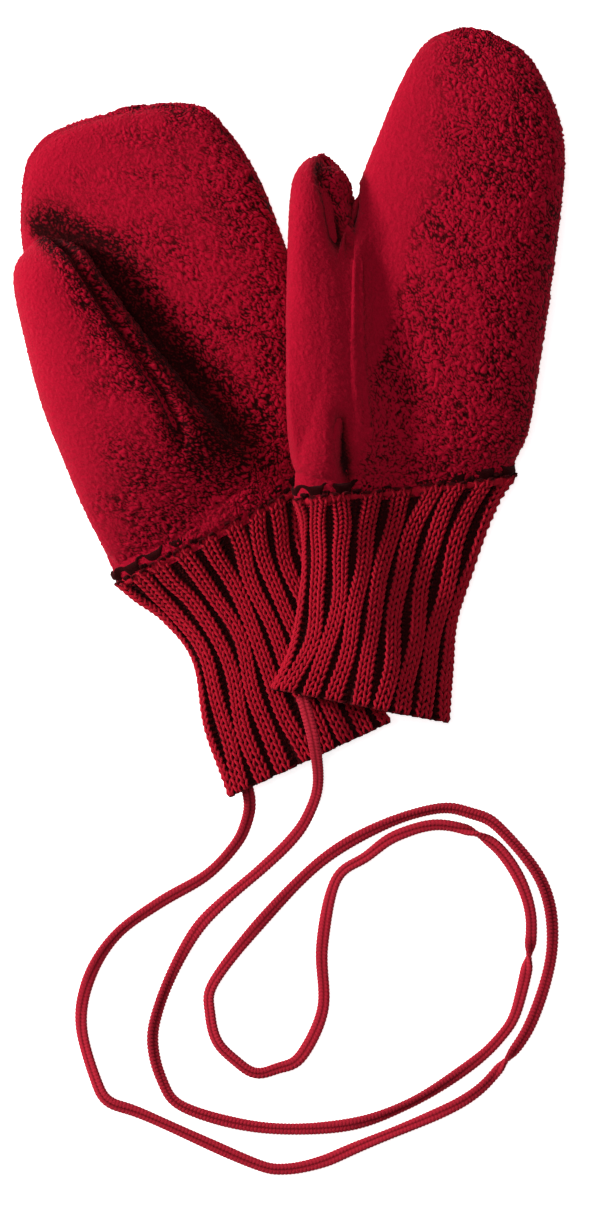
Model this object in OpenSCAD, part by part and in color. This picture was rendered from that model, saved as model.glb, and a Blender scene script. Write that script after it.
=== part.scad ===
// A pair of child's wool mittens joined by a knitted cord, lying flat as if just put down.
// The left mitten lies palm up with its thumb folded over the palm. The right mitten lies
// back up, and its near side rests on the left mitten's far side.
// +X is to the right, +Y towards the fingertips, +Z up from the surface they lie on.

/* [Fabric] */
// Thickness of the wool fleece
wool_t = 2.9; // [2.5:0.1:3.5]
// Thickness of the rib knit
rib_t = 2.5; // [2:0.25:3]
// Width of a sewn seam
seam_w = 2; // [1.5:0.25:3]
// Clearance between pieces that move on each other
gap = 0.6; // [0.4:0.1:0.8]

/* [Mittens] */
// Lean of the left hand from +Y, clockwise
left_hand_lean = -11; // [-13:0.5:-9]
// Lean of the left cuff from +Y, clockwise
left_cuff_lean = -25; // [-27:0.5:-23]
// Lean of the right hand from +Y, clockwise
right_hand_lean = 8.5; // [7:0.5:10]
// Lean of the right cuff from +Y, clockwise
right_cuff_lean = 11; // [9:0.5:13]
// Height that the left mitten lifts the right one's near side
lift_h = 12.6; // [12.6:0.2:14]
// Distance over which the right mitten comes back down to the surface
lift_fall = 34; // [30:1:40]

/* [Cord] */
// Diameter of the knitted cord
cord_d = 3.2; // [2.8:0.1:3.6]
// Diameter of the stitched tack that holds an end of the cord
tack_d = 6; // [5:0.5:7]

/* [Quality] */
// Facets round a hand, thumb or cuff
sides = 28; // [20:4:32]
// Steps between two stations of a hand, thumb or cuff
steps = 2; // [1:1:2]

/* [Hidden] */

wool_red = [0.60, 0.07, 0.14];
rib_red = [0.42, 0.06, 0.10];
cord_red = [0.58, 0.11, 0.17];
// How square a section is: 1 is an ellipse, less is squarer
squareness = 0.8;
// A side longer than any mitten, for cutting blocks
far = 300;
// Lines across each half of a draped seam surface
drape_cols = 5;
// Overlap that keeps a cut from leaving a skin
bite = 0.4;

// Mittens: [seam's middle x, y, hand lean, cuff lean, bearing of the cuff seam, 1 if it lies on the other]
LEFT = [-25, -37.9, left_hand_lean, left_cuff_lean, 28, 0];
RIGHT = [35, -23.9, right_hand_lean, right_cuff_lean, 6, 1];

// Stations along a hand, thumb or cuff: [along, reach left, reach right, underside, top]
left_hand = [
    [1, 33, 33, 0, 15], [20, 36, 37, 0, 17], [45, 40, 40, 0, 18], [72, 41.5, 42, 0, 18],
    [100, 40.5, 38, 0, 17], [113, 38, 34, 0.5, 15.5], [123, 34.5, 29, 1, 14], [129, 29, 25, 2, 12.5],
    [132, 22.5, 19.5, 3, 11], [134.2, 8, 9, 5, 9],
];
left_thumb = [
    [3, 30, 19, 5, 13], [16, 35.5, 17, 6, 22], [30, 39.5, 10, 7, 30], [48, 43, 1, 8, 33.5],
    [68, 44.3, -9.5, 9, 34.5], [84, 44.6, -17, 10, 33.5], [92, 42.8, -20.5, 11.5, 30], [97, 37.5, -26, 14, 25],
    [99.5, 33.5, -30, 17, 21.5],
];
right_hand = [
    [1, 34.5, 34, 0, 16], [15, 34.5, 36, 0, 21], [40, 34, 36, 0, 26], [66, 31.5, 36, 0, 27],
    [90, 28, 35.6, 0, 25], [108, 24.2, 34.6, 0.5, 22], [122, 21, 30.5, 1, 19], [133, 17.4, 24, 2.5, 15],
    [140, 12.5, 17, 4.5, 12], [144, 5, 7, 7, 10],
];
right_thumb = [
    [3, 30, -4, 3, 14], [18, 38, -9, 1.5, 22], [42, 43, -14, 1, 25], [64, 46, -20, 1, 25],
    [82, 48, -26.5, 2, 24], [90, 47.6, -29, 3.5, 22.5], [95, 45, -33, 6, 20], [97.4, 41.5, -37, 10, 15],
];
left_cuff = [
    [-76, 29.5, 26.5, 0, 12], [-55, 27, 24.5, 0, 12], [-34, 21.8, 23.5, 0, 12], [-18, 24.5, 25, 0, 12],
    [-8, 29.5, 29.5, 0, 13.5], [-1, 33, 33, 0, 15],
];
right_cuff = [
    [-68, 29, 27.6, 0, 14], [-52, 25.2, 25.6, 0, 14], [-36, 25.6, 24.5, 0, 14], [-18, 28.5, 26.8, 0, 14],
    [-8, 31, 30.6, 0, 15], [-1, 34, 35.5, 0, 16],
];
// Height and reach that the cuff seam's ridge stands proud
seam_proud = 0.7;
// Where each thumb leaves the hand, measured along the hand
thumb_from = 30;
// Distance over which a section turns from the cuff seam's direction to the limb's own
turn_over = 34;

// The line of the left mitten's right edge that the right mitten rests over: [y, x]
edge_line = [[-93, 29], [-21, 4], [-11, 8], [29, 5], [60, -3], [85, -14]];
// How far inside that edge the lift starts to fall
edge_in = 2;

// Seam surfaces: [height, rise past the bend, bend's place across the hand by distance along it]
left_split = [9.2, 0, [[0, 0]]];
left_thumb_split = [10, 1.4, [[30, -16], [44, -20], [78, -34], [88, -37]]];
right_split = [9, -1.2, [[0, -12], [34, -10], [66, -16], [84, -23], [96, -31], [108, -42]]];

// Height of a tack
tack_h = 3.8;
// The cord's ends: the middle of each tack
left_tack = [-14.5, -112.5];
right_tack = [2, -83];
// The cord's route, from the left mitten's tack to just short of the right one's
cord_route = [
    [-14.5, -112.5, 4.2], [-12.6, -121, 3], [-13.8, -127.5, 1.6], [-17, -134, 1.6], [-26, -143.5, 1.6],
    [-40.5, -152, 1.6], [-54, -162, 1.6], [-62.3, -175, 1.6], [-64.9, -190, 1.6], [-60, -208, 1.6],
    [-56, -214, 1.6], [-46, -217.5, 1.6], [-12.4, -232.4, 1.6], [-2, -234.6, 1.6], [9.5, -232.4, 1.6],
    [20, -228, 1.6], [52.5, -214, 1.6], [66, -201.7, 1.6], [75, -188, 1.6], [81, -166, 1.6],
    [78, -146, 1.6], [64.3, -128.6, 1.6], [56, -124.4, 1.6], [46, -122.8, 1.6], [28.6, -128, 1.6],
    [9.7, -139, 1.6], [-9.2, -158, 1.6], [-24, -177, 1.6], [-25, -186, 1.6], [-22.9, -195, 1.6],
    [-17.3, -200.8, 1.6], [-11, -205, 1.6], [-4, -203.3, 1.6], [3, -200, 1.6], [10, -185, 1.6],
    [9.7, -165.7, 1.6], [14, -145, 1.6], [23.4, -137.9, 1.6], [33, -131.2, 1.6], [48, -128, 1.6],
    [64.5, -135.4, 1.6], [74.4, -156, 1.6], [70.6, -183.3, 1.6], [64.3, -194.5, 1.6], [53.4, -204, 1.6],
    [36.3, -214.5, 1.6], [17, -221, 1.6], [-9, -221.7, 1.6], [-33.2, -215.4, 1.6], [-40, -206.7, 1.6],
    [-42.8, -195, 1.6], [-40.9, -184.6, 1.6], [-35.8, -172, 1.6], [-28.8, -160, 1.6], [-20.5, -151.4, 1.6],
    [-8.5, -141.1, 1.6], [0.4, -132.4, 1.6], [5.4, -125, 3], [8.5, -115, 7], [7, -101, 16.8],
    [3.2, -86.8, 17.6],
];
// Rings between two of the route's points, and the cord's sides
cord_steps = 1;
cord_sides = 8;

function clamp01(t) = max(0, min(1, t));
function smooth(t) = let(u = clamp01(t)) u * u * (3 - 2 * u);
function signed_power(v, e) = sign(v) * pow(abs(v), e);

// A curve through all the points p, at t of the way from point i to the next
function through(p, i, t) = let(
    a = p[max(i - 1, 0)],
    b = p[i],
    c = p[i + 1],
    d = p[min(i + 2, len(p) - 1)]
) (2 * b + (c - a) * t + (2 * a - 5 * b + 4 * c - d) * t * t + (3 * b - a - 3 * c + d) * t * t * t) / 2;
function refine(p, n) = concat(
    [for (i = [0 : len(p) - 2], k = [0 : n - 1]) through(p, i, k / n)],
    [p[len(p) - 1]]
);

// Height that the right mitten is lifted at a place on the surface
function lift(x, y) = lift_h * (1 - smooth((x - lookup(y, edge_line) + edge_in) / lift_fall));

// A point of a mitten: across and along the limb, and up, with the limb's lean
function lay(m, lean, across, along, up) = let(
    x = m[0] + across * cos(lean) + along * sin(lean),
    y = m[1] - across * sin(lean) + along * cos(lean)
) [x, y, up + (m[5] > 0 ? lift(x, y) : 0)];

// One ring of a limb at a station, turned towards the cuff seam's direction near the seam
function ring(m, lean, st) = let(
    turn = (m[4] + lean) * (1 - smooth(abs(st[0]) / turn_over)),
    half_w = (st[1] + st[2]) / 2,
    half_h = (st[4] - st[3]) / 2
) [
    for (k = [0 : sides - 1]) let(
        a = 360 * k / sides,
        across = (st[2] - st[1]) / 2 + half_w * signed_power(cos(a), squareness),
        up = (st[3] + st[4]) / 2 + half_h * signed_power(sin(a), squareness)
    ) lay(m, lean, across * cos(turn), st[0] + across * sin(turn), max(0, up))
];
function rings(m, lean, stations) = [for (st = refine(stations, steps)) ring(m, lean, st)];

// Stations drawn in (or out, when t is negative) by a wall t, with the closed end at tip
function inset_size(half, t) = half - t * min(1, half / (2 * abs(t)));
function inset(stations, t, tip) = [
    for (st = stations) let(
        mid = (st[2] - st[1]) / 2,
        half_w = inset_size((st[1] + st[2]) / 2, t),
        zmid = (st[3] + st[4]) / 2,
        half_h = inset_size((st[4] - st[3]) / 2, t)
    ) [st[0] - t * smooth(2 * st[0] / tip - 1), half_w - mid, half_w + mid, zmid - half_h, zmid + half_h]
];
// The first station moved along, so that a hollow runs out of its mouth
function opened(stations, along) = [
    for (i = [0 : len(stations) - 1]) i > 0 ? stations[i] : [stations[0][0] + along, for (k = [1 : 4]) stations[0][k]]
];

// A closed solid through a list of rings: each end is closed as a fan, or as a strip for a thin slab
function fan_cap(n) = [for (k = [1 : n - 2]) [0, k, k + 1]];
function strip_cap(n) = [
    for (k = [0 : n / 2 - 2]) each [[k, k + 1, n - 1 - k], [k + 1, n - 2 - k, n - 1 - k]]
];
// From the point called turned, the walls' triangles lean the other way
module loft(rs, cap, turned = far) {
    n = len(rs[0]);
    last = (len(rs) - 1) * n;
    walls = [
        for (i = [0 : n : last - n], k = [0 : n - 1]) let(a = i + k, b = i + (k + 1) % n)
            each k < turned
                ? [[a, b, a + n], [b, b + n, a + n]]
                : [[a, b, b + n], [a, b + n, a + n]]
    ];
    near_cap = [for (f = cap) [f[0], f[2], f[1]]];
    far_cap = [for (f = cap) [last + f[0], last + f[1], last + f[2]]];
    polyhedron(points = [for (r = rs, p = r) p], faces = concat(walls, near_cap, far_cap), convexity = 10);
}

// Fuses the cuts of a curved shell into one closed mesh
module fused() {
    resize([0, 0, 0]) children();
}

// A limb: a hand, thumb or cuff as a solid through its stations
module limb(m, lean, stations) {
    loft(rings(m, lean, stations), fan_cap(sides));
}

// A slab between two heights above a seam's surface, over the whole mitten: it needs a line of points only
// at the bend, and on the draped mitten also wherever the drape curves
module slab(m, split, low, high) {
    bends = split[2];
    ends = [for (s = [-20, 160]) [s, lookup(s, bends)]];
    rows_at = concat([ends[0]], [for (b = bends) if (b[0] > ends[0][0] && split[1] != 0) b], [ends[1]]);
    function spread(bend) = m[5] > 0
        ? [for (k = [-drape_cols : drape_cols]) bend + (k < 0 ? bend + 60 : 60 - bend) * k / drape_cols]
        : [-60, bend, 60];
    function at(x, row, up) =
        lay(m, m[2], x, row[0], split[0] + max(0, split[1] * (x - row[1])) + up);
    rows = [
        for (row = rows_at) let(across = spread(row[1]), last = len(across) - 1) concat(
            [for (x = across) at(x, row, low)],
            [for (i = [last : -1 : 0]) at(across[i], row, high)]
        )
    ];
    // Its two faces lean alike, so that the slabs on either side of a face meet without overlap
    loft(rows, strip_cap(len(rows[0])), len(rows[0]) / 2);
}
module above(m, split) {
    slab(m, split, seam_w / 2, far);
}
module below(m, split) {
    slab(m, split, -far, -seam_w / 2);
}
module along_seam(m, split) {
    slab(m, split, -seam_w / 2, seam_w / 2);
}

// The part of space nearer the cuff than a distance along the hand
module nearer(m, along) {
    translate([m[0], m[1], 0]) rotate(-m[2]) translate([-far / 2, along - far, -far / 2]) cube(far);
}

// The hand's outer solid, drawn out by grow
module hand_solid(m, hand, grow) {
    limb(m, m[2], inset(hand, -grow, hand_tip(hand)));
}
function hand_tip(stations) = stations[len(stations) - 1][0];

// A hand's whole shell, with the base of its thumb, before the seams divide it
module hand_shell(m, hand, thumb) {
    difference() {
        union() {
            limb(m, m[2], hand);
            intersection() {
                limb(m, m[2], thumb);
                nearer(m, thumb_from - gap / 2);
            }
        }
        limb(m, m[2], opened(inset(hand, wool_t, hand_tip(hand)), -bite));
        intersection() {
            limb(m, m[2], inset(thumb, wool_t, hand_tip(thumb)));
            nearer(m, thumb_from);
        }
    }
}

// A thumb's whole shell, open at its base and clear of the hand
module thumb_shell(m, hand, thumb) {
    difference() {
        limb(m, m[2], thumb);
        hand_solid(m, hand, gap);
        nearer(m, thumb_from + gap / 2);
        difference() {
            limb(m, m[2], inset(thumb, wool_t, hand_tip(thumb)));
            hand_solid(m, hand, gap + wool_t);
        }
    }
}

// A sleeve: out along the rings of its outer wall and back along those of its inner wall
module sleeve(outer, inner) {
    rs = concat(outer, [for (i = [len(inner) - 1 : -1 : 0]) inner[i]]);
    n = len(rs[0]);
    walls = [
        for (i = [0 : len(rs) - 1], k = [0 : n - 1])
            let(a = i * n, b = (i + 1) % len(rs) * n, next = (k + 1) % n)
            each [[a + k, a + next, b + k], [a + next, b + next, b + k]]
    ];
    polyhedron(points = [for (r = rs, p = r) p], faces = walls, convexity = 10);
}

// A rib-knit cuff: a tube open at both ends
module cuff(m, stations) {
    sleeve(rings(m, m[3], stations), rings(m, m[3], inset(stations, rib_t, far)));
}

// A cuff's seam: the ridge where the wool is sewn to the rib
module cuff_seam(m, hand, rib) {
    wrist = rib[len(rib) - 1];
    palm = hand[0];
    ridge = [0, palm[1] + seam_proud, palm[2] + seam_proud, palm[3], palm[4] + seam_proud];
    sleeve(
        [ring(m, m[3], wrist), ring(m, m[2], ridge), ring(m, m[2], palm)],
        [ring(m, m[3], inset([wrist], rib_t, far)[0]), ring(m, m[2], inset([palm], wool_t, far)[0])]
    );
}

// A cord tack: the round of stitches that holds the cord's end on the cuff's lower layer
module cord_tack(m, at) {
    translate([at[0], at[1], rib_t + (m[5] > 0 ? lift_h : 0)])
        cylinder(d = tack_d, h = tack_h, $fn = 32);
}

// The cord: a tube swept along its route
function unit(v) = v / norm(v);
function cord_ring(path, i) = let(
    ahead = unit(path[min(i + 1, len(path) - 1)] - path[max(i - 1, 0)]),
    side = unit(cross(ahead, [0, 0, 1])),
    up = cross(side, ahead)
) [
    for (k = [0 : cord_sides - 1])
        path[i] + (side * cos(360 * k / cord_sides) + up * sin(360 * k / cord_sides)) * cord_d / 2
];
module cord_tube() {
    path = [for (p = refine(cord_route, cord_steps)) [p[0], p[1], max(p[2], cord_d / 2)]];
    loft([for (i = [0 : len(path) - 1]) cord_ring(path, i)], fan_cap(cord_sides));
}

// A piece of a hand or a thumb: its shell, kept where its seam's surface says
module hand_piece(m, hand, thumb) {
    fused() intersection() {
        hand_shell(m, hand, thumb);
        children();
    }
}
module thumb_piece(m, hand, thumb) {
    fused() intersection() {
        thumb_shell(m, hand, thumb);
        children();
    }
}

// The left mitten lies palm up, so its back panel is the lower one
module left_back_panel() color(wool_red) hand_piece(LEFT, left_hand, left_thumb) below(LEFT, left_split);
module left_palm_panel() color(wool_red) hand_piece(LEFT, left_hand, left_thumb) above(LEFT, left_split);
module left_side_seam() color(wool_red) hand_piece(LEFT, left_hand, left_thumb) along_seam(LEFT, left_split);
module left_thumb_back() color(wool_red) thumb_piece(LEFT, left_hand, left_thumb) above(LEFT, left_thumb_split);
module left_thumb_palm() color(wool_red) thumb_piece(LEFT, left_hand, left_thumb) below(LEFT, left_thumb_split);
module left_thumb_seam() color(wool_red) thumb_piece(LEFT, left_hand, left_thumb) along_seam(LEFT, left_thumb_split);
module left_cuff_seam() color(wool_red) cuff_seam(LEFT, left_hand, left_cuff);
module left_rib_cuff() color(rib_red) cuff(LEFT, left_cuff);
module left_cord_tack() color(cord_red) cord_tack(LEFT, left_tack);

// The right mitten lies back up, rolled so that its seam shows on its thumb
module right_back_panel() color(wool_red) hand_piece(RIGHT, right_hand, right_thumb) above(RIGHT, right_split);
module right_palm_panel() color(wool_red) hand_piece(RIGHT, right_hand, right_thumb) below(RIGHT, right_split);
module right_side_seam() color(wool_red) hand_piece(RIGHT, right_hand, right_thumb) along_seam(RIGHT, right_split);
module right_thumb_back() color(wool_red) thumb_piece(RIGHT, right_hand, right_thumb) above(RIGHT, right_split);
module right_thumb_palm() color(wool_red) thumb_piece(RIGHT, right_hand, right_thumb) below(RIGHT, right_split);
module right_thumb_seam() color(wool_red) thumb_piece(RIGHT, right_hand, right_thumb) along_seam(RIGHT, right_split);
module right_cuff_seam() color(wool_red) cuff_seam(RIGHT, right_hand, right_cuff);
module right_rib_cuff() color(rib_red) cuff(RIGHT, right_cuff);
module right_cord_tack() color(cord_red) cord_tack(RIGHT, right_tack);

module cord() color(cord_red) cord_tube();

left_back_panel();
left_palm_panel();
left_side_seam();
left_cuff_seam();
left_rib_cuff();
left_cord_tack();
left_thumb_back();
left_thumb_palm();
left_thumb_seam();
right_back_panel();
right_palm_panel();
right_side_seam();
right_cuff_seam();
right_rib_cuff();
right_cord_tack();
right_thumb_back();
right_thumb_palm();
right_thumb_seam();
cord();
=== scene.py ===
# %% [markdown]
# # A pair of child's mittens on a string
#
# The real pair is cut and sewn from curly wool fleece, with a rib-knit cuff on each mitten and one
# flat knitted cord from cuff to cuff. Fleece, rib and cord are three different fabrics, so each gets
# its own kind of geometry here: tufts pushed out of a smooth skin, yarn that really loops, and a
# flat tube with stitches on it. Every piece is an array of points worked out with numpy.

# %% Load the frame
import math

import bpy
import numpy as np
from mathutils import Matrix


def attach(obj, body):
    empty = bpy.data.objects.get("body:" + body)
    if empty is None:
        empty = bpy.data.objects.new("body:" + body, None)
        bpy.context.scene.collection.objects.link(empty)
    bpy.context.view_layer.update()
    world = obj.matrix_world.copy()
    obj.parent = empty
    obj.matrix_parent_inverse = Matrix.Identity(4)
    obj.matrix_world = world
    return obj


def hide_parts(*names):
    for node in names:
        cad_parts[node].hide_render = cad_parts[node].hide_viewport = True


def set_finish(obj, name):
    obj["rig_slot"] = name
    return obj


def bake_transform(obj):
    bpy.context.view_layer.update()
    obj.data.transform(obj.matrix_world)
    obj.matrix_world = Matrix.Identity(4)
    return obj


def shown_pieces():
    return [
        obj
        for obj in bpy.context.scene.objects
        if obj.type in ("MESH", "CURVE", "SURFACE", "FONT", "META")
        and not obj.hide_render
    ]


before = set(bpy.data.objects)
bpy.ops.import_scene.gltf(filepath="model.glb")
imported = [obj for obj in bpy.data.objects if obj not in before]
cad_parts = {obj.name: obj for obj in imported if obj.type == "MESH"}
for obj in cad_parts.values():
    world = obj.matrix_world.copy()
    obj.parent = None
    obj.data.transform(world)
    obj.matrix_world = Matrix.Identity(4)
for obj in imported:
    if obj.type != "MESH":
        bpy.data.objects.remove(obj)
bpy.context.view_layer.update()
MM = 0.001

# %% [markdown]
# ## The camera and the light
#
# The pair lies flat and is seen straight from above. A long lens far away keeps the sides of the
# hands from leaning outwards; an orthographic camera would do as well, but a long lens is what a
# studio has. One small lamp low on the left rakes over the wool, which is what shows a pile's tufts
# and lays a shadow beside the thumb, made deeper there by painted shadow in the wool. A soft fill
# and an even sky keep the far sides from going black.

# %% Camera
VIEW_W, VIEW_H = 0.186, 0.3776
VIEW_AT = (0.0029, -0.0611)
CAMERA_UP = 2.0
SENSOR = 36.0


def add_camera():
    """A camera that looks straight down on the middle of the lay, its long side along Y."""
    data = bpy.data.cameras.new("camera")
    data.sensor_fit = "VERTICAL"
    data.sensor_height = SENSOR
    data.lens = SENSOR * CAMERA_UP / VIEW_H
    data.clip_end = 10.0
    obj = bpy.data.objects.new("camera", data)
    obj.location = (*VIEW_AT, CAMERA_UP)
    bpy.context.scene.collection.objects.link(obj)
    bpy.context.scene.camera = obj


add_camera()
print("the view is", VIEW_W, "by", VIEW_H, "m")

# %% Lights
KEY_PLACE, KEY_SIZE, KEY_POWER = (-1.6, 0.45, 0.80), 0.3, 47.0
FILL_PLACE, FILL_SIZE, FILL_POWER = (-0.3, 0.2, 1.8), 0.8, 14.0
SKY = 0.10
WHITE = (1.0, 1.0, 1.0, 1.0)


def add_area_light(name, place, size, power):
    """A square lamp at place that faces the middle of the lay."""
    data = bpy.data.lights.new(name, "AREA")
    data.size = size
    data.energy = power
    obj = bpy.data.objects.new(name, data)
    obj.location = place
    aim = np.array([*VIEW_AT, 0.0]) - np.array(place)
    tilt = math.acos(-aim[2] / np.linalg.norm(aim))
    obj.rotation_euler = (tilt, 0.0, math.atan2(aim[1], aim[0]) - math.pi / 2)
    bpy.context.scene.collection.objects.link(obj)


add_area_light("key", KEY_PLACE, KEY_SIZE, KEY_POWER)
add_area_light("fill", FILL_PLACE, FILL_SIZE, FILL_POWER)
world = bpy.data.worlds.new("sky")
world.use_nodes = True
background = world.node_tree.nodes["Background"]
background.inputs["Color"].default_value = WHITE
background.inputs["Strength"].default_value = SKY
bpy.context.scene.world = world
bpy.context.scene.view_settings.view_transform = "Standard"
print("the key light gives", KEY_POWER, "W and the fill", FILL_POWER, "W")

# %% [markdown]
# ## Small helpers
#
# A piece is made in three moves: work out an array of points, say which four points make each face,
# and hand both to Blender. A grid does for almost everything, because a hand, a cuff, a cord and a
# strand of yarn are all a ring of points carried along something.

# %% Meshes from arrays
def make_piece(name, points, quads, body, *nodes, slot):
    """A mesh object at the origin from points in millimetres and faces of four points each."""
    mesh = bpy.data.meshes.new(name)
    mesh.vertices.add(len(points))
    mesh.vertices.foreach_set("co", np.asarray(points * MM, np.float32).ravel())
    mesh.loops.add(quads.size)
    mesh.loops.foreach_set("vertex_index", np.asarray(quads, np.int32).ravel())
    mesh.polygons.add(len(quads))
    mesh.polygons.foreach_set("loop_start", np.arange(0, quads.size, 4, dtype=np.int32))
    mesh.polygons.foreach_set("use_smooth", np.ones(len(quads), bool))
    mesh.update(calc_edges=True)
    mesh.validate()
    obj = bpy.data.objects.new(name, mesh)
    bpy.context.scene.collection.objects.link(obj)
    if body:
        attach(obj, body)
    if nodes:
        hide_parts(*nodes)
    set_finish(obj, slot)
    print(name, len(quads) * 2, "triangles")
    return obj


def grid_quads(rows, cols, closed):
    """The faces of a grid of rows by cols points; closed joins the last column to the first."""
    across = cols if closed else cols - 1
    r, c = np.meshgrid(np.arange(rows - 1), np.arange(across), indexing="ij")
    a = r * cols + c
    b = r * cols + (c + 1) % cols
    return np.stack([a, b, b + cols, a + cols], axis=-1).reshape(-1, 4)


def add_attribute(obj, name, values):
    """One number for each point, which a material can read."""
    layer = obj.data.attributes.new(name, "FLOAT", "POINT")
    layer.data.foreach_set("value", np.asarray(values, np.float32).ravel())

# %% Numbers and lines
def unit(v):
    """Vectors made one long."""
    return v / np.maximum(np.linalg.norm(v, axis=-1, keepdims=True), 1e-9)


def smooth(t):
    """0 below 0, 1 above 1, and an even S between."""
    u = np.clip(t, 0.0, 1.0)
    return u * u * (3.0 - 2.0 * u)


def ramp(value, start, length):
    """0 before the start, 1 a length later, and an even S between."""
    return smooth((value - start) / length)


def power(v, p):
    """A power that keeps the sign."""
    return np.sign(v) * np.abs(v) ** p


def through(points, t):
    """A curve through all the points: at t = 2.5 it is half way from the third to the fourth."""
    p = np.asarray(points, float)
    i = np.clip(np.floor(t).astype(int), 0, len(p) - 2)
    f = (np.asarray(t) - i)[..., None]
    a, b = p[np.maximum(i - 1, 0)], p[i]
    c, d = p[i + 1], p[np.minimum(i + 2, len(p) - 1)]
    return (2 * b + (c - a) * f + (2 * a - 5 * b + 4 * c - d) * f**2 + (3 * b - a - 3 * c + d) * f**3) / 2


def evenly(points, count):
    """The same line with count points at equal steps along it."""
    step = np.concatenate([[0.0], np.cumsum(np.linalg.norm(np.diff(points, axis=0), axis=1))])
    want = np.linspace(0.0, step[-1], count)
    return np.stack([np.interp(want, step, points[:, k]) for k in range(points.shape[1])], axis=1)


def tube_frames(path):
    """The direction of a line at each point, the level side of it, and the way up across both."""
    ahead = unit(np.gradient(path, axis=0))
    side = unit(np.cross(ahead, [0.0, 0.0, 1.0]))
    return ahead, side, np.cross(side, ahead)


print("ramp(5, 0, 10) is", ramp(5, 0, 10))

# %% [markdown]
# ## The cord from cuff to cuff
#
# The cord is a flat knitted tube, nearly a metre long, that keeps a child from losing a mitten. It
# lies as it fell: two long loops, one inside the other, turned over here and there. Its line is a
# chosen list of points in the frame's own millimetres, the same as in the part's source, and a
# smooth curve goes through them all. A Blender curve with a bevel would give the tube, but not the
# stitches or the way a flat cord turns over, so the section is carried along the line by formula.

# %% The cord's route, in millimetres
CORD_ROUTE = [
    (-14.5, -112.5, 4.2), (-12.6, -121, 3), (-13.8, -127.5, 1.6), (-17, -134, 1.6), (-26, -143.5, 1.6),
    (-40.5, -152, 1.6), (-54, -162, 1.6), (-62.3, -175, 1.6), (-64.9, -190, 1.6), (-60, -208, 1.6),
    (-56, -214, 1.6), (-46, -217.5, 1.6), (-12.4, -232.4, 1.6), (-2, -234.6, 1.6), (9.5, -232.4, 1.6),
    (20, -228, 1.6), (52.5, -214, 1.6), (66, -201.7, 1.6), (75, -188, 1.6), (81, -166, 1.6),
    (78, -146, 1.6), (64.3, -128.6, 1.6), (56, -124.4, 1.6), (46, -122.8, 1.6), (28.6, -128, 1.6),
    (9.7, -139, 1.6), (-9.2, -158, 1.6), (-24, -177, 1.6), (-25, -186, 1.6), (-22.9, -195, 1.6),
    (-17.3, -200.8, 1.6), (-11, -205, 1.6), (-4, -203.3, 1.6), (3, -200, 1.6), (10, -185, 1.6),
    (9.7, -165.7, 1.6), (14, -145, 1.6), (23.4, -137.9, 1.6), (33, -131.2, 1.6), (48, -128, 1.6),
    (64.5, -135.4, 1.6), (74.4, -156, 1.6), (70.6, -183.3, 1.6), (64.3, -194.5, 1.6), (53.4, -204, 1.6),
    (36.3, -214.5, 1.6), (17, -221, 1.6), (-9, -221.7, 1.6), (-33.2, -215.4, 1.6), (-40, -206.7, 1.6),
    (-42.8, -195, 1.6), (-40.9, -184.6, 1.6), (-35.8, -172, 1.6), (-28.8, -160, 1.6),
    (-20.5, -151.4, 1.6), (-8.5, -141.1, 1.6), (0.4, -132.4, 1.6), (5.4, -125, 3), (8.5, -115, 7),
    (7, -101, 16.8), (3.2, -86.8, 17.6),
]
print("the route has", len(CORD_ROUTE), "points")

# %% The cord
CORD_WIDE, CORD_THICK = 3.8, 1.9
CORD_SQUARE = 0.75
CORD_ROW = 1.15
CORD_PTS = 4
CORD_SIDES, CORD_WALES = 20, 8
CORD_SMOOTH = 7
CORD_FINE = 4000
STITCH_WIDE, STITCH_THICK = 0.25, 0.30
CORD_FLOOR = 0.05
# Where the cord has turned over once, as lengths along it, and over what length it does
TWISTS = (262.0, 610.0, 655.0)
TWIST_LONG = 14.0


def cord_line():
    """The cord's middle line at equal steps, its corners eased by a bell-shaped running mean."""
    route = through(CORD_ROUTE, np.linspace(0, len(CORD_ROUTE) - 1, CORD_FINE))
    length = np.linalg.norm(np.diff(route, axis=0), axis=1).sum()
    centre = evenly(route, int(length / CORD_ROW * CORD_PTS))
    window = np.hanning(CORD_SMOOTH * CORD_PTS + 2)[1:-1]
    padded = np.pad(centre, ((len(window) // 2, (len(window) - 1) // 2), (0, 0)), mode="edge")
    centre = np.stack([np.convolve(padded[:, k], window / window.sum(), "valid") for k in range(3)], axis=1)
    centre[:, 2] = np.maximum(centre[:, 2], CORD_THICK / 2 + 2 * CORD_FLOOR)
    return centre, length


def cord_roll(run):
    """How far the flat cord is turned about its line: two slow sines, and half a turn at each twist."""
    roll = 0.35 * np.sin(run / 27.0) + 0.25 * np.sin(run / 11.3 + 1.0)
    for at in TWISTS:
        roll = roll + math.pi * ramp(run, at - TWIST_LONG / 2, TWIST_LONG)
    return roll


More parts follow.
